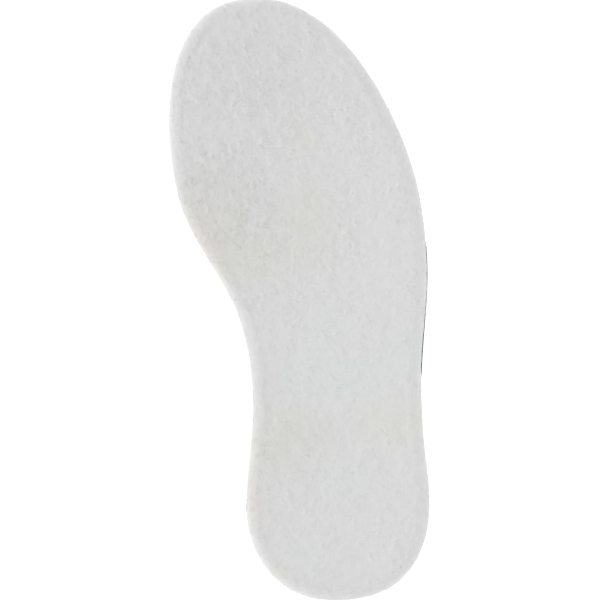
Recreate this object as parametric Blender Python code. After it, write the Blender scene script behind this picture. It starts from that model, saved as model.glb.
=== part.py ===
"""A cushioned insole for a child's right shoe.

It is a flat laminate of five sheets, each with the same foot outline: a thin dark backing, a foam cushion and
a soft felt cover, with a glue web on each side of the foam. X runs from the inner (medial) side to the outer
side, Y from heel to toe and Z up. The origin is at the middle of the outline's box, on the underside.
"""

import math
from collections import namedtuple

import bmesh
import bpy
from mathutils import Vector
from mathutils.geometry import interpolate_bezier

# Outline, in metres. The inner heel and the inner ball both touch one straight line, the inner side.
LENGTH = 0.180
BALL_WIDTH = 0.0697
HEEL_WIDTH = 0.0551
ARCH_HOLLOW = 0.0107  # how far the inner waist is cut in from the inner side
HEEL_TIP_ACROSS = 0.0291  # from the inner side to the rearmost point
TOE_TIP_ACROSS = 0.0287  # from the inner side to the foremost point
OUTER_HEEL_SPLAY = math.radians(4.5)  # how far the outer edge leans outwards as it leaves the heel

# Where a foot's landmarks lie along its length, as shares of the length from the heel.
INNER_HEEL_AT = 0.153
OUTER_HEEL_AT = 0.178
ARCH_AT = 0.443
OUTER_BALL_AT = 0.640
INNER_BALL_AT = 0.720

# Sheet thicknesses and edges, in metres.
BACKING_THICKNESS = 0.0004
FOAM_THICKNESS = 0.0018
FELT_THICKNESS = 0.0026
GLUE_THICKNESS = 0.0001
SHEET_GAP = 0.0001  # clearance between one sheet and the next
FOAM_SET_BACK = 0.0002  # the backing stands this far proud of the foam
FELT_SET_BACK = 0.0003  # and this far proud of the felt
GLUE_SET_BACK = 0.0012  # the glue is held back from the cut edge so that it can't bleed out
FELT_ROLL_ACROSS = 0.0035  # the felt's top edge is rolled over: the width of the roll seen from above
FELT_ROLL_DOWN = 0.0021  # and its depth

STEPS_PER_STRETCH = 16  # outline points between one anchor and the next
STEPS_PER_ROLL = 6

Anchor = namedtuple("Anchor", "place heading before after")
Ring = namedtuple("Ring", "inset height")


def clear_scene():
    for thing in list(bpy.data.objects):
        bpy.data.objects.remove(thing)


def outline_anchors():
    """The outline's anchors, anticlockwise from the rearmost point.

    The heading is the outline's direction at the anchor. Before and after are the fullness of the curve on
    each side of it: 0 makes a sharp turn, and about 0.55 makes a quarter of an ellipse.
    """
    inner = -BALL_WIDTH / 2
    outer = BALL_WIDTH / 2

    def along(share):
        return (share - 0.5) * LENGTH

    outwards = Vector((1, 0))
    forwards = Vector((0, 1))
    splayed = Vector((math.sin(OUTER_HEEL_SPLAY), math.cos(OUTER_HEEL_SPLAY)))
    return [
        Anchor(Vector((inner + HEEL_TIP_ACROSS, along(0))), outwards, 0.54, 0.56),
        Anchor(Vector((inner + HEEL_WIDTH, along(OUTER_HEEL_AT))), splayed, 0.62, 0.52),
        Anchor(Vector((outer, along(OUTER_BALL_AT))), forwards, 0.45, 0.26),
        Anchor(Vector((inner + TOE_TIP_ACROSS, along(1))), -outwards, 0.78, 0.80),
        Anchor(Vector((inner, along(INNER_BALL_AT))), -forwards, 0.35, 0.39),
        Anchor(Vector((inner + ARCH_HOLLOW, along(ARCH_AT))), -forwards, 0.43, 0.45),
        Anchor(Vector((inner, along(INNER_HEEL_AT))), -forwards, 0.24, 0.70),
    ]


def outline_stretch(start, end):
    """Points of the curve from one anchor up to, but not including, the next."""
    across = end.place - start.place
    start_handle = start.place + start.heading * (start.after * abs(across.dot(start.heading)))
    end_handle = end.place - end.heading * (end.before * abs(across.dot(end.heading)))
    points = interpolate_bezier(start.place, start_handle, end_handle, end.place, STEPS_PER_STRETCH + 1)
    return [point.to_2d() for point in points[:-1]]


def outline_points():
    anchors = outline_anchors()
    points = []
    for number, anchor in enumerate(anchors):
        points += outline_stretch(anchor, anchors[(number + 1) % len(anchors)])
    return points


def inset_outline(outline, inset):
    """The outline moved inwards by the inset, measured square to its edge."""
    moved = []
    for number, point in enumerate(outline):
        tangent = outline[(number + 1) % len(outline)] - outline[number - 1]
        inwards = Vector((-tangent.y, tangent.x)).normalized()
        moved.append(point + inwards * inset)
    return moved


def sheet_mesh(name, outline, rings):
    """A closed sheet that rises through the rings, each one the outline at its own inset and height."""
    shape = bmesh.new()
    loops = []
    for ring in rings:
        loops.append([shape.verts.new((*point, ring.height)) for point in inset_outline(outline, ring.inset)])
    shape.faces.new(reversed(loops[0]))
    for lower, upper in zip(loops, loops[1:]):
        for number in range(len(outline)):
            following = (number + 1) % len(outline)
            shape.faces.new((lower[number], lower[following], upper[following], upper[number]))
    shape.faces.new(loops[-1])
    mesh = bpy.data.meshes.new(name)
    shape.to_mesh(mesh)
    shape.free()
    return mesh


def flat_rings(inset, bottom, thickness):
    return [Ring(inset, bottom), Ring(inset, bottom + thickness)]


def rolled_rings(inset, bottom, thickness):
    """A sheet whose top edge is rolled over in a quarter of an ellipse."""
    rings = [Ring(inset, bottom)]
    for step in range(STEPS_PER_ROLL + 1):
        turn = math.pi / 2 * step / STEPS_PER_ROLL
        rings.append(
            Ring(
                inset + FELT_ROLL_ACROSS * (1 - math.cos(turn)),
                bottom + thickness - FELT_ROLL_DOWN * (1 - math.sin(turn)),
            )
        )
    return rings


def plain_material(name, colour, roughness):
    material = bpy.data.materials.new(name)
    material.use_nodes = True
    shader = material.node_tree.nodes["Principled BSDF"]
    shader.inputs["Base Color"].default_value = (*colour, 1)
    shader.inputs["Roughness"].default_value = roughness
    shader.inputs["Metallic"].default_value = 0
    return material


def add_sheet(name, outline, rings, material):
    mesh = sheet_mesh(name, outline, rings)
    mesh.materials.append(material)
    mesh.shade_smooth()
    mesh.set_sharp_from_angle(angle=math.radians(35))
    bpy.context.scene.collection.objects.link(bpy.data.objects.new(name, mesh))


def add_backing(outline, bottom):
    material = plain_material("dark_backing", (0.07, 0.07, 0.075), 0.75)
    add_sheet("non_slip_backing", outline, flat_rings(0, bottom, BACKING_THICKNESS), material)
    return bottom + BACKING_THICKNESS + SHEET_GAP


def add_glue_web(name, outline, bottom):
    material = plain_material(name, (0.80, 0.80, 0.78), 0.45)
    add_sheet(name, outline, flat_rings(GLUE_SET_BACK, bottom, GLUE_THICKNESS), material)
    return bottom + GLUE_THICKNESS + SHEET_GAP


def add_foam(outline, bottom):
    material = plain_material("white_foam", (0.78, 0.78, 0.76), 0.85)
    add_sheet("foam_cushion", outline, flat_rings(FOAM_SET_BACK, bottom, FOAM_THICKNESS), material)
    return bottom + FOAM_THICKNESS + SHEET_GAP


def add_felt(outline, bottom):
    material = plain_material("white_felt", (0.67, 0.68, 0.67), 0.95)
    add_sheet("felt_cover", outline, rolled_rings(FELT_SET_BACK, bottom, FELT_THICKNESS), material)


def main():
    clear_scene()
    outline = outline_points()
    height = add_backing(outline, 0)
    height = add_glue_web("lower_glue_web", outline, height)
    height = add_foam(outline, height)
    height = add_glue_web("upper_glue_web", outline, height)
    add_felt(outline, height)


main()
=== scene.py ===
"""The looks of a cushioned insole: a brushed white felt cover on a foam cushion with a dark pimpled backing.

Every piece takes its outline and its heights from the CAD model. Lengths are in metres. X runs from the
inner to the outer side of the foot, Y from heel to toe and Z up.
"""

import math

import bpy
import numpy as np
from mathutils import Matrix, Vector
from mathutils.geometry import delaunay_2d_cdt


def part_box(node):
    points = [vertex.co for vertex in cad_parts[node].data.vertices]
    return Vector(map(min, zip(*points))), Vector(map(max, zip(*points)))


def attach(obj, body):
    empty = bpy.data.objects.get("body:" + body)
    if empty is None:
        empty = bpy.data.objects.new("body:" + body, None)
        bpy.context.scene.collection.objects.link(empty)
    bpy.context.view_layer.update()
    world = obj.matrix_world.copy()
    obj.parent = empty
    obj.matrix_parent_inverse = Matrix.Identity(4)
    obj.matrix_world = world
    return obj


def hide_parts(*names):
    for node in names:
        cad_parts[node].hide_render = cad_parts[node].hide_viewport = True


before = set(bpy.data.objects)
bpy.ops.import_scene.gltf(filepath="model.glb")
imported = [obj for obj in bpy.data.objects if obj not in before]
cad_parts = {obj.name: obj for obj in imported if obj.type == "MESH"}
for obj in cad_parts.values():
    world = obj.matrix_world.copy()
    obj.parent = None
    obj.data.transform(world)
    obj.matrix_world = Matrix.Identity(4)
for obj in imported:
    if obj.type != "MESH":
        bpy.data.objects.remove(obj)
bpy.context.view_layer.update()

MM = 0.001

# The felt's edge, from the underside over the roll to the top. The roll is as in the CAD model.
ROLL_ACROSS = 3.5 * MM
ROLL_DOWN = 2.1 * MM
EDGE_BULGE = 0.23 * MM  # the soft edge swells out past the cut line
EDGE_DROOP = 0.14 * MM  # and sags towards the foam, past where the glue ends
RIM_DIP = 0.03 * MM  # the shallow furrow inside the roll
RIM_DIP_AT = 4.7 * MM
RIM_DIP_WIDTH = 0.9 * MM
EDGE_FULLNESS = 0.3 * MM  # how far the roll grows fuller and leaner round the foot
EDGE_FULLNESS_SIZE = 15 * MM

# Where the felt and foam are cut a little short, so that the dark backing shows past them from above as a
# thin dark line, partly the backing and partly painted shadow in the gap under the felt's edge: the side of
# the foot (1 outer, -1 inner), where the stretch starts and ends, and how bare it is.
BARE_AND_SHADOW_STRETCHES = (
    (1, -34.5 * MM, 13 * MM, 0.94),
    (1, -32 * MM, -12 * MM, 0.12),
    (-1, -62 * MM, -52 * MM, 0.9),
)
BARE_BLEND = 6 * MM  # each stretch comes and goes over this distance
SHORT_CUT = 0.22 * MM  # how far short the felt and foam are cut where it is wholly bare
PROUD_CUT = 0.10 * MM  # and how far the backing stands out of its outline there
HIDDEN_CUT = 0.28 * MM  # elsewhere the backing stays this far inside the outline, out of sight from above

# How finely the pieces are meshed.
EDGE_STEP = 0.42 * MM
FELT_STEP = 0.40 * MM
CELL_STEP = 0.14 * MM
BACKING_STEP = 0.5 * MM
UNDERSIDE_STEP = 4.0 * MM
RELIEF_STEP = 0.2 * MM
INSET_STEP = 1.0 * MM
POINTS_PER_CORNER = 40  # of an outline's smooth curve
ROLL_STEPS = 16
FOAM_STEPS = 14

# Gentle waves, as the size of the lumps and their height.
FELT_WAVES = ((24 * MM, 0.08 * MM), (7 * MM, 0.05 * MM), (2.2 * MM, 0.08 * MM))
EDGE_WAVES = ((3.1 * MM, 0.08 * MM), (1.1 * MM, 0.05 * MM), (0.5 * MM, 0.04 * MM))
FOAM_WAVES = ((3 * MM, 0.04 * MM),)
WAVES_FROM = 1.5 * MM  # the felt's waves begin this far inside the outline
WAVES_RISE = 3 * MM  # and reach their full height over this distance

# The felting's relief is made of strokes: how many, their lengths, their heights and how softly they end.
STRANDS = (26000, (1.2 * MM, 3.6 * MM), (0.007 * MM, 0.031 * MM), 0.18 * MM)
RIDGES = (2300, (1.5 * MM, 4.0 * MM), (0.05 * MM, 0.155 * MM), 0.17 * MM)
LOCKS = (1000, (3.0 * MM, 9.0 * MM), (0.10 * MM, 0.50 * MM), 0.8 * MM)
PITS = (620, (0.3 * MM, 0.9 * MM), (-0.40 * MM, -0.08 * MM), 0.23 * MM)
STROKE_CRIMP = 0.7

# How lively the felting is everywhere, and then its livelier areas. The numbers of an area are its middle,
# its reach, its squeeze (below 1, the area is longer along the foot) and how much livelier it is.
LIVELY = 0.86
LIVELY_AREAS = (
    ((-18 * MM, 50 * MM), 21 * MM, 0.7, 0.6),
    ((18 * MM, 71 * MM), 9 * MM, 1.0, 0.4),
)
LIVELIEST = 2.2  # nowhere is livelier than this
CLUMP_SIZE = 8 * MM
CLUMP_SHARE = 0.45  # how much livelier or calmer a clump is

# The grain: its heading from X, how much the headings spread, and how many of the fibres follow it at the
# heel, with how many more at the toe.
BRUSHED_TOWARDS = math.radians(104)
BRUSHED_SPREAD = 0.5
BRUSHED_HEEL = 0.08
BRUSHED_MORE_AT_TOE = 0.12

# Separate fibres.
FIBRE_POINTS = 8
FIBRE_CRIMP = 0.8
FIBRE_SUNK = 0.03 * MM
FIBRE_THICKNESSES = (0.6, 1.2)  # the thinnest and thickest fibre, against the usual one
LYING_FROM = 3.2 * MM  # fibres on the top start this far inside the outline
STANDING_SHARE = 0.35  # of the edge's fibres, those with an end that stands off

# The foam's cells, cut open along its side, and how its free rim swells past where the glue ends.
CELL_SIZE = 0.42 * MM
CELL_DEPTH = 0.13 * MM
CELL_REACH = 0.62  # of the cell's size
CELL_JITTER = 0.38
FOAM_SAG = 0.24 * MM
FOAM_SWELL = 0.11 * MM

# The grips under the backing, in staggered rows.
PIMPLE_HEIGHT = 0.12 * MM
PIMPLE_PITCH = 2.6 * MM
PIMPLE_ROWS = 0.866  # from row to row, against the pitch
PIMPLE_RADIUS = 0.55 * MM
PIMPLE_SIDES = 10
PIMPLE_MARGIN = 1.4 * MM
BACKING_ROUNDING = 0.06 * MM

NOISE_START = 1000.5  # keeps every place on the noise's positive side, between lattice points

# The picture: which way the insole's toe leans in it, the point in its middle, its width on the insole, and
# the camera's lens and sensor in millimetres.
TOE_LEAN = math.radians(12)
PICTURE_RIGHT = Vector((math.cos(TOE_LEAN), -math.sin(TOE_LEAN), 0))
PICTURE_UP = Vector((math.sin(TOE_LEAN), math.cos(TOE_LEAN), 0))
UP = Vector((0, 0, 1))
PICTURE_MIDDLE = Vector((-5.99 * MM, -0.31 * MM, 3.3 * MM))
PICTURE_WIDTH = 176.76 * MM
LENS = 150
SENSOR = 36

# The softboxes: where each stands to the right of the insole, above it in the picture and over the floor, in
# metres, then its width and its power in watts.
SOFTBOXES = {
    "left_softbox": ((-1.97, 0, 0.35), 0.5, 15.8),
    "right_softbox": ((1.97, 0, 0.35), 0.5, 3.2),
    "toe_softbox": ((0, 1.96, 0.42), 0.5, 10.2),
    "heel_softbox": ((0, -1.96, 0.42), 0.5, 9.6),
    "top_softbox": ((0.13, -0.02, 0.33), 0.2, 0.242),
}
WORLD_GLOW = 0.603
FLOOR_SIDE = 4.0
FLOOR_GREY = 0.1
FLOOR_GLOW = 1.06


# ---------------------------------------------------------------- outlines and fields


def closed_curve(corners, spacing):
    """A smooth closed curve through the corners (Catmull-Rom), as evenly spaced points."""
    before, after, beyond = np.roll(corners, 1, 0), np.roll(corners, -1, 0), np.roll(corners, -2, 0)
    share = np.linspace(0, 1, POINTS_PER_CORNER, endpoint=False)[None, :, None]
    bend = (
        2 * corners[:, None]
        + (after - before)[:, None] * share
        + (2 * before - 5 * corners + 4 * after - beyond)[:, None] * share**2
        + (3 * corners - before - 3 * after + beyond)[:, None] * share**3
    ) / 2
    dense = bend.reshape(-1, 2)
    steps = np.hypot(*(np.roll(dense, -1, 0) - dense).T)
    along = np.concatenate([[0], np.cumsum(steps)])
    count = round(along[-1] / spacing)
    wanted = np.arange(count) * along[-1] / count
    looped = np.vstack([dense, dense[:1]])
    return np.column_stack([np.interp(wanted, along, looped[:, axis]) for axis in (0, 1)])


def cad_outline(node, spacing):
    """The outline of a CAD sheet, anticlockwise. All of it is in sight of its middle, so angles order it."""
    places = np.array([vertex.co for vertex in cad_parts[node].data.vertices])
    lowest = places[places[:, 2] < places[:, 2].min() + 0.01 * MM][:, :2]
    corners = np.unique(np.round(lowest, 7), axis=0)
    return closed_curve(corners[np.argsort(np.arctan2(corners[:, 1], corners[:, 0]))], spacing)


def inward_normals(outline):
    tangent = np.roll(outline, -1, 0) - np.roll(outline, 1, 0)
    return np.column_stack([-tangent[:, 1], tangent[:, 0]]) / np.hypot(*tangent.T)[:, None]


def bare_and_shadow_share(outline):
    """How bare the edge is at each point of the outline, from 0 to about 1, so how much of the dark line
    shows there: partly backing, partly painted shadow.
    """
    share = np.zeros(len(outline))
    for side, start, end, strength in BARE_AND_SHADOW_STRETCHES:
        rise = np.clip((outline[:, 1] - start) / BARE_BLEND, 0, 1)
        fall = np.clip((end - outline[:, 1]) / BARE_BLEND, 0, 1)
        share += strength * rise * fall * (outline[:, 0] * side > 0)
    return share


def moved_in(outline, distance):
    return outline + inward_normals(outline) * np.asarray(distance).reshape(-1, 1)


def distance_to(points, outline):
    """Each point's distance to the nearest point of the outline, worked out in batches to spare memory."""
    found = np.empty(len(points))
    batch = 2000
    for start in range(0, len(points), batch):
        gaps = points[start : start + batch, None, :] - outline[None, :, :]
        found[start : start + batch] = np.sqrt((gaps**2).sum(2).min(1))
    return found


def is_inside(points, outline):
    """True for each point that the closed outline goes round."""
    inside = np.zeros(len(points), bool)
    for (x0, y0), (x1, y1) in zip(outline, np.roll(outline, -1, 0)):
        spans = (y0 > points[:, 1]) != (y1 > points[:, 1])
        if spans.any():
            crossing = x0 + (points[spans, 1] - y0) * (x1 - x0) / (y1 - y0)
            inside[spans] ^= points[spans, 0] < crossing
    return inside


def lattice_value(cells):
    """A fixed pseudo-random number from -1 to 1 for each cell of a lattice, from a fast-turning sine."""
    mixed = np.sin(cells @ np.array([12.9898, 78.233, 37.719])) * 43758.5453
    return 2 * (mixed - np.floor(mixed)) - 1


def lumps(points, size):
    """Smooth noise from -1 to 1 with lumps of about that size, at points in space."""
    place = points / size + NOISE_START
    cell = np.floor(place)
    share = place - cell
    share = share * share * (3 - 2 * share)
    total = np.zeros(len(points))
    for corner in np.ndindex(2, 2, 2):
        corner = np.array(corner)
        weight = np.abs(1 - corner - share).prod(1)
        total += weight * lattice_value(cell + corner)
    return total


def layered_lumps(points, layers):
    """The lumps of every layer added up, each layer with its size and height."""
    return sum(height * lumps(points, size) for size, height in layers)


def cell_centres_away(points, size):
    """Distance to the nearest of many scattered cell centres, in cell sizes."""
    place = points / size + NOISE_START
    nearest = np.full(len(points), 9.0)
    for shift in np.ndindex(3, 3, 3):
        cell = np.floor(place) + np.array(shift) - 1
        jitter = [lattice_value(cell + offset) for offset in (0.0, 31.7, 77.1)]
        centre = cell + 0.5 + CELL_JITTER * np.column_stack(jitter)
        nearest = np.minimum(nearest, np.linalg.norm(centre - place, axis=1))
    return nearest


class Field:
    """A map of numbers over the insole's box, read anywhere by interpolation."""

    def __init__(self, low, high, step, margin=5 * MM):
        self.low = np.array(low) - margin
        self.step = step
        self.shape = tuple(np.ceil((np.array(high) + margin - self.low) / step).astype(int) + 1)
        self.values = np.zeros(self.shape)

    def places(self):
        columns, rows = np.indices(self.shape)
        return np.column_stack([columns.ravel(), rows.ravel()]) * self.step + self.low

    def corners_of(self, points):
        """Each point's four nearest places on the map, with the share of the point that each one holds."""
        place = np.clip((points - self.low) / self.step, 0, np.array(self.shape) - 1.001)
        cell = place.astype(int)
        share = place - cell
        for right, up in ((0, 0), (0, 1), (1, 0), (1, 1)):
            weight = np.abs(1 - right - share[:, 0]) * np.abs(1 - up - share[:, 1])
            yield (cell[:, 0] + right, cell[:, 1] + up), weight

    def at(self, points):
        return sum(self.values[place] * weight for place, weight in self.corners_of(points))

    def add_marks(self, points, heights):
        for place, weight in self.corners_of(points):
            np.add.at(self.values, place, heights * weight)

    def soften(self, radius):
        reach = int(3 * radius / self.step) + 1
        bell = np.exp(-((np.arange(-reach, reach + 1) * self.step / radius) ** 2) / 2)
        bell /= bell.sum()
        for axis in (0, 1):
            self.values = np.apply_along_axis(np.convolve, axis, self.values, bell, "same")


def inset_field(outline):
    """A map of how far inside the outline each place is, with negative numbers outside it."""
    field = Field(outline.min(0), outline.max(0), INSET_STEP)
    places = field.places()
    side = np.where(is_inside(places, outline), 1, -1)
    field.values = (distance_to(places, outline) * side).reshape(field.shape)
    return field


def crimped_paths(starts, headings, lengths, points, crimp, random):
    """Plan views of crimped fibres: a row of points for each, centred on its start."""
    along = np.linspace(0, 1, points)[None, :]
    count = len(starts)
    phase = random.uniform(0, 2 * math.pi, (2, count, 1))
    waves = random.uniform(0.6, 1.6, (count, 1))
    turn = headings[:, None] + random.normal(0, 0.9, (count, 1)) * (along - 0.5)
    turn = turn + crimp * np.sin(2 * math.pi * waves * along + phase[0])
    turn = turn + crimp / 2 * np.sin(4 * math.pi * waves * along + phase[1])
    step = lengths[:, None] / (points - 1)
    path = np.stack([np.cumsum(np.cos(turn) * step, 1), np.cumsum(np.sin(turn) * step, 1)], 2)
    return path - path.mean(1, keepdims=True) + starts[:, None, :]


# ---------------------------------------------------------------- meshes


def add_piece(name, vertices, faces, material, flat_map):
    """A mesh piece that rides with the insole, with each face corner's place on the unwrapped piece."""
    mesh = bpy.data.meshes.new(name)
    mesh.from_pydata(vertices.tolist(), [], faces.tolist())
    mesh.materials.append(material)
    mesh.shade_smooth()
    low = flat_map.min(0)
    side = (flat_map.max(0) - low).max()
    unwrapped = mesh.uv_layers.new(name="OFBake")
    unwrapped.data.foreach_set("uv", ((flat_map - low) / side).ravel())
    piece = bpy.data.objects.new(name, mesh)
    bpy.context.scene.collection.objects.link(piece)
    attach(piece, "root")
    return piece


def filled(ring, spacing):
    """A lattice of points inside a closed ring, and the triangles that fill the ring through them."""
    low, high = ring.min(0), ring.max(0)
    grid = np.stack(
        np.meshgrid(
            np.arange(low[0] - spacing, high[0] + spacing, spacing),
            np.arange(low[1], high[1], spacing * math.sqrt(3) / 2),
        ),
        2,
    )
    grid[1::2, :, 0] += spacing / 2
    lattice = grid.reshape(-1, 2)
    lattice = lattice[is_inside(lattice, ring)]
    lattice = lattice[distance_to(lattice, ring) > spacing / 2]
    count = len(ring)
    edges = [(number, (number + 1) % count) for number in range(count)]
    every = [Vector(point) for point in np.vstack([ring, lattice])]
    _, _, faces, origins, _, _ = delaunay_2d_cdt(every, edges, [], 1, 1e-9)
    known = np.array([origin[0] for origin in origins])
    return lattice, known[np.array(faces)]


class Sheet:
    """A closed sheet. Its profile is rings of (inset, height), from the underside round to the top."""

    def __init__(self, outline, profile, underside_step, top_step):
        self.outline = outline
        self.profile = profile
        self.inward = inward_normals(outline)
        self.count = len(outline)
        rings = [self.ring(inset, height) for inset, height in profile]
        self.in_rings = self.count * len(profile)
        number = np.arange(self.count)
        following = (number + 1) % self.count
        sides = []
        for ring in range(len(profile) - 1):
            lower, upper = ring * self.count, (ring + 1) * self.count
            sides.append(np.column_stack([lower + number, lower + following, upper + following]))
            sides.append(np.column_stack([lower + number, upper + following, upper + number]))
        below, underside = self.filled_ring(rings, 0, underside_step, self.in_rings)
        above, top = self.filled_ring(rings, len(profile) - 1, top_step, self.in_rings + len(below))
        self.points = np.vstack([*rings, below, above])
        self.faces = np.vstack([*sides, underside[:, ::-1], top])
        self.first_underside_face = len(self.faces) - len(underside) - len(top)
        self.first_top_face = len(self.faces) - len(top)
        self.flat_map = self.unwrapped()

    def ring(self, inset, height):
        """The outline moved in by the inset, at that height."""
        return np.column_stack([self.outline + self.inward * inset, np.full(self.count, height)])

    def filled_ring(self, rings, ring, step, start):
        """The points inside a ring, numbered from start, and the faces that they make with it."""
        lattice, fill = filled(rings[ring][:, :2], step)
        fill = np.where(fill < self.count, fill + ring * self.count, fill - self.count + start)
        return np.column_stack([lattice, np.full(len(lattice), self.profile[ring][1])]), fill

    def unwrapped(self):
        """Each face corner's place with the edge rolled out round the top and the underside beside it."""
        insets, heights = np.array(self.profile).T
        steps = np.hypot(np.diff(insets), np.diff(heights))
        away = np.concatenate([[0], np.cumsum(steps[::-1])])[::-1]
        place = self.points[:, :2].copy()
        rolled = self.outline[None] + self.inward[None] * (insets[-1] - away)[:, None, None]
        place[: self.in_rings] = rolled.reshape(-1, 2)
        beside = self.points[:, :2] + [2.2 * np.ptp(self.points[:, 0]) / 2 + 2 * away[0], 0]
        corners = place[self.faces]
        underside = slice(self.first_underside_face, self.first_top_face)
        corners[underside] = beside[self.faces[underside]]
        return corners.reshape(-1, 2)

    def outward(self):
        """Unit vectors out of the edge for the points of its rings, and nothing for the rest."""
        out = np.zeros((len(self.points), 2))
        out[: self.in_rings] = np.tile(-self.inward, (len(self.profile), 1))
        return out

    def edge_grid(self):
        """The rings' points, by ring and then round the outline."""
        return self.points[: self.in_rings].reshape(len(self.profile), self.count, 3)


def flat_from_above(points, faces):
    return points[faces][:, :, :2].reshape(-1, 2)


def tube_mesh(paths, radii, sides=3):
    """Closed tubes along many paths at once, each an array of points, thinning to their ends."""
    count, steps, _ = paths.shape
    along = np.gradient(paths, axis=1)
    along /= np.linalg.norm(along, axis=2, keepdims=True)
    beside = np.cross(along, [0, 0, 1])
    beside /= np.linalg.norm(beside, axis=2, keepdims=True) + 1e-12
    above = np.cross(beside, along)
    taper = 0.35 + 0.65 * np.sin(np.linspace(0, math.pi, steps)) ** 0.5
    rings = []
    for side in range(sides):
        angle = 2 * math.pi * side / sides
        out = beside * math.cos(angle) + above * math.sin(angle)
        rings.append(paths + out * (radii[:, None] * taper)[..., None])
    points = np.stack(rings, 2).reshape(-1, 3)
    first = np.arange(count)[:, None, None] * steps * sides
    step = np.arange(steps - 1)[None, :, None] * sides
    side = np.arange(sides)[None, None, :]
    after = (side + 1) % sides
    near, far = first + step, first + step + sides
    lower = np.stack([near + side, near + after, far + after], 3).reshape(-1, 3)
    upper = np.stack([near + side, far + after, far + side], 3).reshape(-1, 3)
    start = np.arange(count)[:, None] * steps * sides + np.arange(sides)[::-1]
    end = np.arange(count)[:, None] * steps * sides + (steps - 1) * sides + np.arange(sides)
    return points, np.vstack([lower, upper, start[:, :3], end[:, :3]])


# ---------------------------------------------------------------- the felt


def rolled_profile(low, high):
    """The felt's edge from its underside to its flat top, as steps of (inset, height)."""
    bend = high - ROLL_DOWN
    profile = [
        (2.0 * MM, low),
        (1.1 * MM, low),
        (0.7 * MM, low - EDGE_DROOP * 0.6),
        (0.35 * MM, low - EDGE_DROOP),
        (0.1 * MM, low - EDGE_DROOP * 0.6),
        (-0.6 * EDGE_BULGE, low + 0.1 * MM),
        (-EDGE_BULGE, low + 0.3 * MM),
    ]
    for step in range(ROLL_STEPS + 1):
        turn = math.pi / 2 * step / ROLL_STEPS
        inset = (ROLL_ACROSS + EDGE_BULGE) * (1 - math.cos(turn)) - EDGE_BULGE
        profile.append((inset, bend + ROLL_DOWN * math.sin(turn)))
    profile.append((ROLL_ACROSS + 0.4 * MM, high))
    return profile


class FeltTop:
    """The felt's upper surface: its height anywhere, with the furrow inside its roll and the relief."""

    def __init__(self, outline, high, random):
        self.low, self.far = outline.min(0), outline.max(0)
        self.high = high
        self.inset = inset_field(outline)
        fields = [self.marks(*strokes, random) for strokes in (STRANDS, RIDGES, LOCKS, PITS)]
        self.relief = fields[0]
        self.relief.values += sum(field.values for field in fields[1:])
        self.relief.values -= self.relief.values.mean()

    def marks(self, count, lengths, heights, softness, random):
        """A relief of crimped strokes, each raised or sunk by something between the two heights."""
        field = Field(self.low, self.far, RELIEF_STEP)
        starts = self.scattered(count, random)
        headings = grain(starts, random)
        sizes = random.uniform(*lengths, len(starts))
        steps = round(lengths[1] / RELIEF_STEP) + 2
        paths = crimped_paths(starts, headings, sizes, steps, STROKE_CRIMP, random)
        field.add_marks(paths.reshape(-1, 2), np.repeat(random.uniform(*heights, len(starts)), steps))
        field.soften(softness)
        return field

    def scattered(self, count, random):
        """Random places over the whole box, closer together where the felt is lively."""
        drawn = count * 3  # enough, as over a third of them are kept
        places = random.uniform(self.low, self.far, (drawn, 2))
        kept = random.uniform(0, LIVELIEST, len(places)) < liveliness(places)
        return places[kept][:count]

    def height(self, plan):
        inset = self.inset.at(plan)
        dip = RIM_DIP * np.exp(-(((inset - RIM_DIP_AT) / RIM_DIP_WIDTH) ** 2) / 2)
        flat = np.column_stack([plan, np.zeros(len(plan))])
        fade = np.clip((inset - WAVES_FROM) / WAVES_RISE, 0, 1)
        waves = layered_lumps(flat, FELT_WAVES) * fade
        return self.high - dip + waves + self.relief.at(plan) * liveliness(plan)


def liveliness(plan):
    """How coarse the felt is: it comes in clumps, and is livelier in some areas."""
    lively = np.full(len(plan), LIVELY)
    for (middle_x, middle_y), reach, squeeze, more in LIVELY_AREAS:
        away = np.hypot(plan[:, 0] - middle_x, squeeze * (plan[:, 1] - middle_y)) / reach
        lively += more * np.exp(-(away**2) / 2)
    clumps = lumps(np.column_stack([plan, np.zeros(len(plan))]), CLUMP_SIZE)
    return lively * (1 + CLUMP_SHARE * clumps)


def grain(starts, random):
    """Headings of fibres: every way, with a leaning to run along the foot, more so towards the toe."""
    count = len(starts)
    lengthwise = BRUSHED_TOWARDS + random.normal(0, BRUSHED_SPREAD, count)
    anyway = random.uniform(0, 2 * math.pi, count)
    toeward = np.clip(starts[:, 1] / np.ptp(starts[:, 1]) + 0.5, 0, 1)
    brushed = random.uniform(size=count) < BRUSHED_HEEL + BRUSHED_MORE_AT_TOE * toeward
    return np.where(brushed, lengthwise, anyway)


def felt_cover(material, random):
    """The felt as a closed sheet, with relief on its top and a rough rolled edge that is fuller in places."""
    low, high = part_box("felt_cover")
    outline = cad_outline("felt_cover", EDGE_STEP)
    outline = moved_in(outline, SHORT_CUT * bare_and_shadow_share(outline))
    sheet = Sheet(outline, rolled_profile(low.z, high.z), UNDERSIDE_STEP, FELT_STEP)
    top = FeltTop(outline, high.z, random)
    points = sheet.points
    inset = top.inset.at(points[:, :2])
    lift = top.height(points[:, :2]) - high.z
    rise = (points[:, 2] - low.z) / (high.z - low.z)
    upward = np.clip((inset + 0.2 * MM) / ROLL_ACROSS, 0, 1) ** 0.5 * (rise > 0.4)
    rough = layered_lumps(points, EDGE_WAVES) * np.clip(1 - inset / ROLL_ACROSS, 0, 1)
    on_roll = np.sin(math.pi * np.clip(inset / ROLL_ACROSS, 0, 1))
    fuller = EDGE_FULLNESS * lumps(points, EDGE_FULLNESS_SIZE) * on_roll
    points[:, :2] += sheet.outward() * (rough + fuller)[:, None]
    points[:, 2] += lift * upward
    piece = add_piece("felt_cover_cloth", points, sheet.faces, material, sheet.flat_map)
    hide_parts("felt_cover")
    return top, sheet


def fibre_radii(count, thickness, random):
    return random.uniform(*FIBRE_THICKNESSES, count) * thickness / 2


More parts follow.
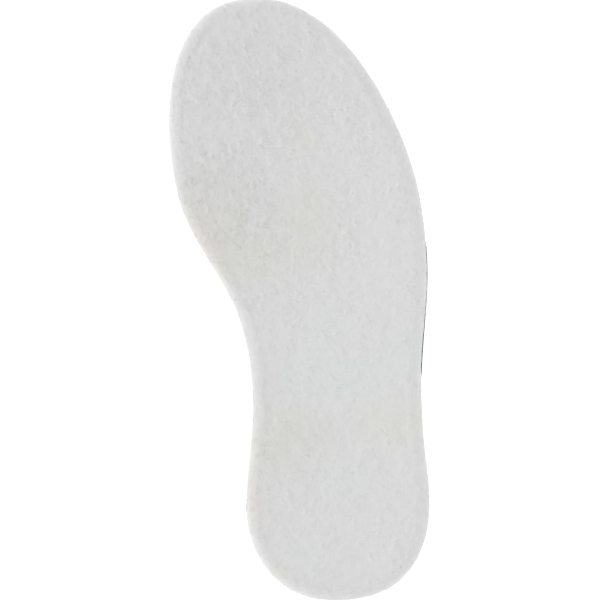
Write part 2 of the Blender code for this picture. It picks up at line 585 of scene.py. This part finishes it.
def add_fibres(name, paths, radii, material):
    points, faces = tube_mesh(paths, radii)
    piece = add_piece(name, points, faces, material, flat_from_above(points, faces))


def lying_fibres(name, top, count, thickness, lengths, lift, material, random):
    """Real fibres that lie on the felt's top, dipping into it at both ends."""
    starts = top.scattered(count * 2, random)
    starts = starts[top.inset.at(starts) > LYING_FROM][:count]
    sizes = random.uniform(*lengths, len(starts))
    paths = crimped_paths(starts, grain(starts, random), sizes, FIBRE_POINTS, FIBRE_CRIMP, random)
    height = top.height(paths.reshape(-1, 2)).reshape(paths.shape[:2])
    inset = top.inset.at(paths.reshape(-1, 2)).reshape(paths.shape[:2])
    roll = np.clip(1 - inset / ROLL_ACROSS, 0, 1)
    height -= ROLL_DOWN * (1 - np.sqrt(1 - roll**2))
    arch = np.sin(np.linspace(0, math.pi, FIBRE_POINTS))[None, :]
    height += arch * random.uniform(0.2, 1, (len(starts), 1)) * lift - FIBRE_SUNK
    add_fibres(name, np.dstack([paths, height]), fibre_radii(len(starts), thickness, random), material)


class FeltEdge:
    """The felt's rolled edge and cut side as a flat strip, with places as (round the foot, up the edge)."""

    LOWEST_RING = 3  # fibres may reach down to this ring of the sheet
    STARTING_RING = 4  # and start at or above this one
    MEASURED_RING = 8  # the ring whose length is the strip's

    def __init__(self, sheet):
        self.grid = sheet.edge_grid()
        self.columns = sheet.count
        across = np.linalg.norm(np.diff(self.grid, axis=0), axis=2).mean(1)
        self.across = np.concatenate([[0], np.cumsum(across)])
        middle = self.grid[self.MEASURED_RING]
        self.round_step = np.linalg.norm(middle - np.roll(middle, 1, 0), axis=1).mean()

    def scattered(self, count, random):
        """Random places on the strip."""
        round_edge = random.uniform(0, self.columns * self.round_step, count)
        up_edge = random.uniform(self.across[self.STARTING_RING], self.across[-1], count)
        return np.column_stack([round_edge, up_edge])

    def at_grid(self, ring, column):
        """The points in space at these fractions of a ring and a column."""
        low_ring = np.clip(np.floor(ring).astype(int), 0, len(self.grid) - 2)
        low_column = np.floor(column).astype(int)
        up, along = (ring - low_ring)[:, None], (column - low_column)[:, None]
        here, there = low_column % self.columns, (low_column + 1) % self.columns
        lower = self.grid[low_ring, here] * (1 - along) + self.grid[low_ring, there] * along
        upper = self.grid[low_ring + 1, here] * (1 - along) + self.grid[low_ring + 1, there] * along
        return lower * (1 - up) + upper * up

    def points_and_normals(self, places):
        """Where the strip's places are in space, and the unit vectors out of the edge there."""
        inside = np.clip(places[:, 1], self.across[self.LOWEST_RING], self.across[-1])
        ring = np.interp(inside, self.across, np.arange(len(self.across)))
        column = places[:, 0] / self.round_step
        points = self.at_grid(ring, column)
        onward = self.at_grid(ring, column + 0.5) - points
        upward = self.at_grid(ring + 0.5, column) - points
        normals = np.cross(onward, upward)
        return points, normals / np.linalg.norm(normals, axis=1, keepdims=True)


def stand_off(count, fuzz, random):
    """How far each fibre's points are off the edge. Most lie on it, and some have one end off, as fuzz."""
    share = np.linspace(0, 1, FIBRE_POINTS)[None, :]
    lying = np.sin(math.pi * share) * random.uniform(0.01, 0.05, (count, 1)) * MM
    standing = share**2 * random.uniform(0.1, 1, (count, 1)) * fuzz
    return np.where(random.uniform(size=(count, 1)) < STANDING_SHARE, standing, lying) - FIBRE_SUNK


def edge_fibres(name, sheet, count, thickness, lengths, fuzz, material, random):
    """Fibres on the felt's rolled edge and cut side."""
    edge = FeltEdge(sheet)
    starts = edge.scattered(count, random)
    headings = random.uniform(0, 2 * math.pi, count)
    sizes = random.uniform(*lengths, count)
    places = crimped_paths(starts, headings, sizes, FIBRE_POINTS, FIBRE_CRIMP, random).reshape(-1, 2)
    points, normals = edge.points_and_normals(places)
    points = points + normals * stand_off(count, fuzz, random).reshape(-1, 1)
    radii = fibre_radii(count, thickness, random)
    add_fibres(name, points.reshape(count, FIBRE_POINTS, 3), radii, material)


# ---------------------------------------------------------------- foam, glue and backing


def foam_cushion(material):
    """The foam as a closed sheet, with its cells cut open along its side."""
    low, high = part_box("foam_cushion")
    outline = cad_outline("foam_cushion", CELL_STEP)
    outline = moved_in(outline, SHORT_CUT * bare_and_shadow_share(outline))
    under, over = low.z - FOAM_SAG, high.z + FOAM_SWELL
    profile = [(1.3 * MM, low.z), (1.0 * MM, low.z), (0.5 * MM, under), (0.1 * MM, under)]
    profile += [(0, under + (over - under) * (step + 0.5) / FOAM_STEPS) for step in range(FOAM_STEPS)]
    profile += [(0.1 * MM, over), (0.5 * MM, over), (1.0 * MM, high.z), (1.3 * MM, high.z)]
    sheet = Sheet(outline, profile, UNDERSIDE_STEP, UNDERSIDE_STEP)
    pits = 1 - np.clip(cell_centres_away(sheet.points, CELL_SIZE) / CELL_REACH, 0, 1) ** 2
    depth = CELL_DEPTH * pits - layered_lumps(sheet.points, FOAM_WAVES)
    sheet.points[:, :2] -= sheet.outward() * depth[:, None]
    piece = add_piece("foam_cushion_pad", sheet.points, sheet.faces, material, sheet.flat_map)
    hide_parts("foam_cushion")


def backing(material):
    """The backing, out of sight from above except where the edge is bare, with its pimples. Where it shows,
    it makes a dark line that is partly the backing and partly painted shadow.
    """
    low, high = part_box("non_slip_backing")
    outline = cad_outline("non_slip_backing", BACKING_STEP)
    bare = bare_and_shadow_share(outline)
    outline = moved_in(outline, HIDDEN_CUT * (1 - bare) - PROUD_CUT * bare)
    film = low.z + PIMPLE_HEIGHT
    profile = [
        (2 * BACKING_ROUNDING, film),
        (0, film + BACKING_ROUNDING),
        (0, high.z - BACKING_ROUNDING),
        (BACKING_ROUNDING, high.z),
    ]
    sheet = Sheet(outline, profile, UNDERSIDE_STEP, UNDERSIDE_STEP)
    piece = add_piece("non_slip_backing_film", sheet.points, sheet.faces, material, sheet.flat_map)
    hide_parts("non_slip_backing")
    add_pimples(outline, low.z, film, material)


def pimple_centres(outline):
    """Staggered rows of places, all of them well inside the outline."""
    corner, far = outline.min(0), outline.max(0)
    columns = np.arange(corner[0], far[0], PIMPLE_PITCH)
    rows = np.arange(corner[1], far[1], PIMPLE_PITCH * PIMPLE_ROWS)
    grid = np.stack(np.meshgrid(columns, rows), 2)
    grid[1::2, :, 0] += PIMPLE_PITCH / 2
    centres = grid.reshape(-1, 2)
    centres = centres[is_inside(centres, outline)]
    return centres[distance_to(centres, outline) > PIMPLE_MARGIN]


def pimple_shape(low, high):
    """One pimple, as closed rings from inside the backing down to its flat foot, and its faces."""
    angle = 2 * math.pi * np.arange(PIMPLE_SIDES) / PIMPLE_SIDES
    circle = np.column_stack([np.cos(angle), np.sin(angle)]) * PIMPLE_RADIUS
    rings = [(1.0, high + 0.05 * MM), (1.0, high - 0.01 * MM), (0.8, low + 0.03 * MM), (0.45, low)]
    points = [np.column_stack([circle * share, np.full(PIMPLE_SIDES, height)]) for share, height in rings]
    faces = []
    for ring in range(len(rings) - 1):
        for side in range(PIMPLE_SIDES):
            after = (side + 1) % PIMPLE_SIDES
            here, there = ring * PIMPLE_SIDES + side, ring * PIMPLE_SIDES + after
            faces += [(here, there + PIMPLE_SIDES, there), (here, here + PIMPLE_SIDES, there + PIMPLE_SIDES)]
    last = (len(rings) - 1) * PIMPLE_SIDES
    for side in range(1, PIMPLE_SIDES - 1):
        faces += [(0, side, side + 1), (last, last + side + 1, last + side)]
    return np.vstack(points), np.array(faces)


def add_pimples(outline, low, high, material):
    """Low round grips in staggered rows under the backing. Each dips a little into it."""
    centres = pimple_centres(outline)
    shape, shape_faces = pimple_shape(low, high)
    offset = np.column_stack([centres, np.zeros(len(centres))])
    points = (shape[None, :, :] + offset[:, None, :]).reshape(-1, 3)
    shift = (np.arange(len(centres)) * len(shape))[:, None, None]
    faces = (shape_faces[None] + shift).reshape(-1, 3)
    piece = add_piece("non_slip_pimples", points, faces, material, flat_from_above(points, faces))


# ---------------------------------------------------------------- materials


# Where a Mix node keeps its sockets for colours, which share their names with those for numbers.
MIX_SHARE = 0
MIX_FIRST_COLOUR = 6
MIX_SECOND_COLOUR = 7
MIXED_COLOUR = 2


class Recipe:
    """A material's nodes, built around its Principled shader."""

    def __init__(self, name, roughness):
        self.material = bpy.data.materials.new(name)
        self.material.use_nodes = True
        self.tree = self.material.node_tree
        self.shader = self.tree.nodes["Principled BSDF"]
        self.shader.inputs["Roughness"].default_value = roughness
        self.place = self.add("ShaderNodeTexCoord").outputs["Object"]

    def add(self, kind, settings=None, **inputs):
        node = self.tree.nodes.new(kind)
        for name, value in (settings or {}).items():
            setattr(node, name, value)
        for name, value in inputs.items():
            self.feed(node.inputs[name.replace("_", " ")], value)
        return node

    def feed(self, socket, value):
        if isinstance(value, bpy.types.NodeSocket):
            self.tree.links.new(value, socket)
        else:
            socket.default_value = value

    def noise(self, size, detail, rough):
        """Cloudy noise from 0 to 1 with spots of about that size."""
        node = self.add(
            "ShaderNodeTexNoise", Vector=self.place, Scale=1 / size, Detail=detail, Roughness=rough
        )
        return node.outputs["Fac"]

    def ramp(self, value, low, high, to_low, to_high):
        """The value with low to high stretched to to_low to to_high, and clamped there."""
        inputs = {"From Min": low, "From Max": high, "To Min": to_low, "To Max": to_high}
        node = self.add("ShaderNodeMapRange", Value=value, **inputs)
        return node.outputs["Result"]

    def maths(self, operation, first, second):
        node = self.tree.nodes.new("ShaderNodeMath")
        node.operation = operation
        self.feed(node.inputs[0], first)
        self.feed(node.inputs[1], second)
        return node.outputs[0]

    def mix(self, share, first, second, blend="MIX"):
        node = self.tree.nodes.new("ShaderNodeMix")
        node.data_type = "RGBA"
        node.blend_type = blend
        self.feed(node.inputs[MIX_SHARE], share)
        self.feed(node.inputs[MIX_FIRST_COLOUR], first)
        self.feed(node.inputs[MIX_SECOND_COLOUR], second)
        return node.outputs[MIXED_COLOUR]

    def patch(self, centre, reach):
        """1 at the middle of an oval area seen from above, falling smoothly to 0 at its edge."""
        moved = self.tree.nodes.new("ShaderNodeVectorMath")
        moved.operation = "SUBTRACT"
        self.feed(moved.inputs[0], self.place)
        moved.inputs[1].default_value = (*centre, 0)
        scaled = self.tree.nodes.new("ShaderNodeVectorMath")
        scaled.operation = "MULTIPLY"
        self.feed(scaled.inputs[0], moved.outputs[0])
        scaled.inputs[1].default_value = (1 / reach[0], 1 / reach[1], 0)
        length = self.tree.nodes.new("ShaderNodeVectorMath")
        length.operation = "LENGTH"
        self.feed(length.inputs[0], scaled.outputs[0])
        inputs = {"From Min": 0.0, "From Max": 1.0, "To Min": 1.0, "To Max": 0.0}
        smooth = {"interpolation_type": "SMOOTHERSTEP"}
        node = self.add("ShaderNodeMapRange", smooth, Value=length.outputs["Value"], **inputs)
        return node.outputs["Result"]

    def bump(self, height, distance):
        node = self.add("ShaderNodeBump", Height=height, Distance=distance, Strength=1.0)
        self.feed(self.shader.inputs["Normal"], node.outputs["Normal"])


WHITE = (0.808, 0.809, 0.808, 1)
GREYER = (0.781, 0.782, 0.781, 1)
YELLOWED = (0.780, 0.785, 0.728, 1)
# partly dirt, partly painted shade: darker towards the inner side and across the heel's front
DIRT_AND_SHADE_GREY = (0.70, 0.70, 0.69, 1)
COOLER = (0.757, 0.799, 0.790, 1)
PINKED = (0.782, 0.756, 0.733, 1)
FOAM_HOLLOW_SHADE = (0.48, 0.48, 0.46, 1)
FOAM_WALL = (0.70, 0.70, 0.68, 1)
BACKING_DARK = (0.05, 0.05, 0.055, 1)
BACKING_LIGHT = (0.10, 0.10, 0.105, 1)
GLUE_THIN = (0.66, 0.65, 0.60, 1)
GLUE_THICK = (0.82, 0.82, 0.80, 1)

# Faint patches on the felt: middle, reach across and along, colour, strength. The grey ones are partly dirt
# and partly painted shade: the felt darker towards its inner side and in a band across the front of the heel.
PATCHES = (
    ((-26 * MM, 25 * MM), (17 * MM, 22 * MM), YELLOWED, 1.0),
    ((-15 * MM, 14 * MM), (17 * MM, 10 * MM), YELLOWED, 0.9),
    ((-23 * MM, 19 * MM), (15 * MM, 15 * MM), YELLOWED, 0.8),
    ((1 * MM, 21 * MM), (13 * MM, 17 * MM), YELLOWED, 1.0),
    ((4 * MM, 46 * MM), (7 * MM, 7 * MM), YELLOWED, 0.7),
    ((-19 * MM, -39 * MM), (19 * MM, 13 * MM), YELLOWED, 1.0),
    ((-27 * MM, -41 * MM), (9 * MM, 10 * MM), YELLOWED, 0.7),
    ((13 * MM, -41 * MM), (17 * MM, 12 * MM), YELLOWED, 0.8),
    ((-29 * MM, -77 * MM), (6 * MM, 5 * MM), YELLOWED, 0.9),
    ((-26 * MM, 30 * MM), (24 * MM, 32 * MM), DIRT_AND_SHADE_GREY, 0.45),
    ((-27 * MM, 22 * MM), (8 * MM, 11 * MM), DIRT_AND_SHADE_GREY, 0.35),
    ((-9 * MM, 26 * MM), (36 * MM, 40 * MM), DIRT_AND_SHADE_GREY, 0.25),
    ((-7 * MM, 66 * MM), (34 * MM, 28 * MM), DIRT_AND_SHADE_GREY, 0.22),
    ((-25 * MM, -25 * MM), (24 * MM, 60 * MM), DIRT_AND_SHADE_GREY, 0.25),
    ((-12 * MM, -42 * MM), (26 * MM, 12 * MM), DIRT_AND_SHADE_GREY, 0.25),
    ((21 * MM, -22 * MM), (11 * MM, 11 * MM), COOLER, 1.0),
    ((2 * MM, -26 * MM), (16 * MM, 10 * MM), COOLER, 0.9),
    ((-11 * MM, -23 * MM), (10 * MM, 10 * MM), COOLER, 0.7),
    ((-2 * MM, -10 * MM), (10 * MM, 8 * MM), COOLER, 0.5),
    ((-5 * MM, -55 * MM), (9 * MM, 9 * MM), COOLER, 0.8),
    ((-19 * MM, -75 * MM), (8 * MM, 8 * MM), COOLER, 0.4),
    ((-29 * MM, 24 * MM), (8 * MM, 18 * MM), PINKED, 1.0),
    ((-31 * MM, -55 * MM), (6 * MM, 12 * MM), PINKED, 0.8),
)


def felt_material(name, brightness):
    """White felt, mottled at three sizes and tinted in patches with ragged edges, the grey patches partly
    dirt and partly painted shade.
    """
    recipe = Recipe(name, 1.0)
    fine = recipe.noise(0.5 * MM, 3.0, 0.6)
    broad = recipe.noise(16 * MM, 3.0, 0.55)
    ragged = recipe.ramp(recipe.noise(6 * MM, 4.0, 0.65), 0.35, 0.6, 0.35, 1.15)
    colour = recipe.mix(recipe.ramp(fine, 0.3, 0.7, 0.0, 1.0), GREYER, WHITE)
    clumps = recipe.noise(2.4 * MM, 4.0, 0.7)
    colour = recipe.mix(recipe.ramp(broad, 0.35, 0.65, 0.0, 0.35), colour, GREYER)
    colour = recipe.mix(recipe.ramp(clumps, 0.38, 0.62, 0.0, 0.8), colour, GREYER)
    for centre, reach, tint, strength in PATCHES:
        share = recipe.maths("MULTIPLY", recipe.patch(centre, reach), ragged)
        colour = recipe.mix(recipe.maths("MULTIPLY", share, strength), colour, tint)
    tone = (brightness, brightness, brightness, 1)
    colour = recipe.mix(1.0, colour, tone, "MULTIPLY")
    recipe.feed(recipe.shader.inputs["Base Color"], colour)
    recipe.shader.inputs["Sheen Weight"].default_value = 0.08
    recipe.shader.inputs["Sheen Roughness"].default_value = 0.5
    recipe.shader.inputs["Specular IOR Level"].default_value = 0.2
    recipe.bump(recipe.noise(0.28 * MM, 3.0, 0.6), 0.04 * MM)
    return recipe.material


def foam_material():
    recipe = Recipe("foam_cells", 0.9)
    cell_size = 0.3 * MM
    cells = recipe.add("ShaderNodeTexVoronoi", Vector=recipe.place, Scale=1 / cell_size).outputs["Distance"]
    # Painted shade: the foam's cells are darker towards their middles, in the hollows, and lighter at their
    # walls.
    shade = recipe.ramp(cells, 0.0, 0.6, 0.0, 1.0)
    colour = recipe.mix(shade, FOAM_HOLLOW_SHADE, FOAM_WALL)
    recipe.feed(recipe.shader.inputs["Base Color"], colour)
    recipe.bump(cells, 0.06 * MM)
    return recipe.material


def backing_material():
    recipe = Recipe("dark_backing", 0.7)
    speckle = recipe.noise(0.6 * MM, 4.0, 0.6)
    colour = recipe.mix(speckle, BACKING_DARK, BACKING_LIGHT)
    recipe.feed(recipe.shader.inputs["Base Color"], colour)
    recipe.bump(speckle, 0.03 * MM)
    return recipe.material


def glue_material():
    recipe = Recipe("glue_web", 0.45)
    web = recipe.noise(1.2 * MM, 3.0, 0.6)
    colour = recipe.mix(web, GLUE_THIN, GLUE_THICK)
    recipe.feed(recipe.shader.inputs["Base Color"], colour)
    recipe.bump(web, 0.02 * MM)
    return recipe.material


# ---------------------------------------------------------------- stage


def add_floor():
    bpy.ops.mesh.primitive_plane_add(size=FLOOR_SIDE, location=(0, 0, 0))
    floor = bpy.context.object
    floor.name = "floor"
    recipe = Recipe("floor_white", 0.9)
    recipe.shader.inputs["Base Color"].default_value = (FLOOR_GREY, FLOOR_GREY, FLOOR_GREY, 1)
    recipe.shader.inputs["Emission Color"].default_value = (1, 1, 1, 1)
    recipe.shader.inputs["Emission Strength"].default_value = FLOOR_GLOW
    floor.data.materials.append(recipe.material)


def add_light(name, place, size, watts):
    """A round softbox that faces the insole."""
    light = bpy.data.lights.new(name, "AREA")
    light.shape = "DISK"
    light.size = size
    light.energy = watts
    lamp = bpy.data.objects.new(name, light)
    lamp.visible_camera = False
    turned = (-place).to_track_quat("-Z", "Y").to_matrix().to_4x4()
    lamp.matrix_world = Matrix.Translation(place) @ turned
    bpy.context.scene.collection.objects.link(lamp)


def add_world():
    world = bpy.data.worlds.new("studio")
    world.use_nodes = True
    background = world.node_tree.nodes["Background"]
    background.inputs["Color"].default_value = (1, 1, 1, 1)
    background.inputs["Strength"].default_value = WORLD_GLOW
    bpy.context.scene.world = world


def add_camera():
    """Straight above, framed so that the picture is PICTURE_WIDTH wide at the felt's edge."""
    camera = bpy.data.cameras.new("camera")
    camera.lens = LENS
    camera.sensor_width = SENSOR
    distance = PICTURE_WIDTH * LENS / SENSOR
    camera.clip_start = distance / 10
    camera.clip_end = distance * 20
    eye = bpy.data.objects.new("camera", camera)
    turned = Matrix((PICTURE_RIGHT, PICTURE_UP, UP)).transposed().to_4x4()
    eye.matrix_world = Matrix.Translation(PICTURE_MIDDLE + UP * distance) @ turned
    bpy.context.scene.collection.objects.link(eye)
    bpy.context.scene.camera = eye


def add_stage():
    add_camera()
    add_floor()
    add_world()
    for name, ((right, along, over), size, watts) in SOFTBOXES.items():
        add_light(name, PICTURE_RIGHT * right + PICTURE_UP * along + UP * over, size, watts)
    bpy.context.scene.view_settings.view_transform = "Standard"


def felt(random):
    """The felt cover with its fibres, each kind with its count, thickness, lengths and lift or fuzz."""
    # The strands and fibres are brighter copies of the felt's material, 1.06 and 1.0 against its 0.93:
    # painted highlight for the light that loose fibres catch.
    top, sheet = felt_cover(felt_material("felt_white", 0.93), random)
    strand = felt_material("felt_strands", 1.06)
    lying_fibres("felt_strands", top, 1200, 0.16 * MM, (1.4 * MM, 3.4 * MM), 0.02 * MM, strand, random)
    fibre = felt_material("felt_fibres", 1.0)
    lying_fibres("felt_fibres", top, 3500, 0.08 * MM, (1.5 * MM, 4.5 * MM), 0.03 * MM, fibre, random)
    lying_fibres("felt_fine_fibres", top, 3500, 0.06 * MM, (1.5 * MM, 4.5 * MM), 0.04 * MM, fibre, random)
    edge_fibres("felt_edge_fibres", sheet, 3600, 0.07 * MM, (0.8 * MM, 2.6 * MM), 0.32 * MM, fibre, random)


def glue_webs():
    """The glue webs keep their CAD shapes."""
    for node in ("upper_glue_web", "lower_glue_web"):
        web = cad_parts[node]
        web.data.materials.clear()
        web.data.materials.append(glue_material())


def main():
    add_stage()
    felt(np.random.default_rng(7))
    foam_cushion(foam_material())
    backing(backing_material())
    glue_webs()


main()
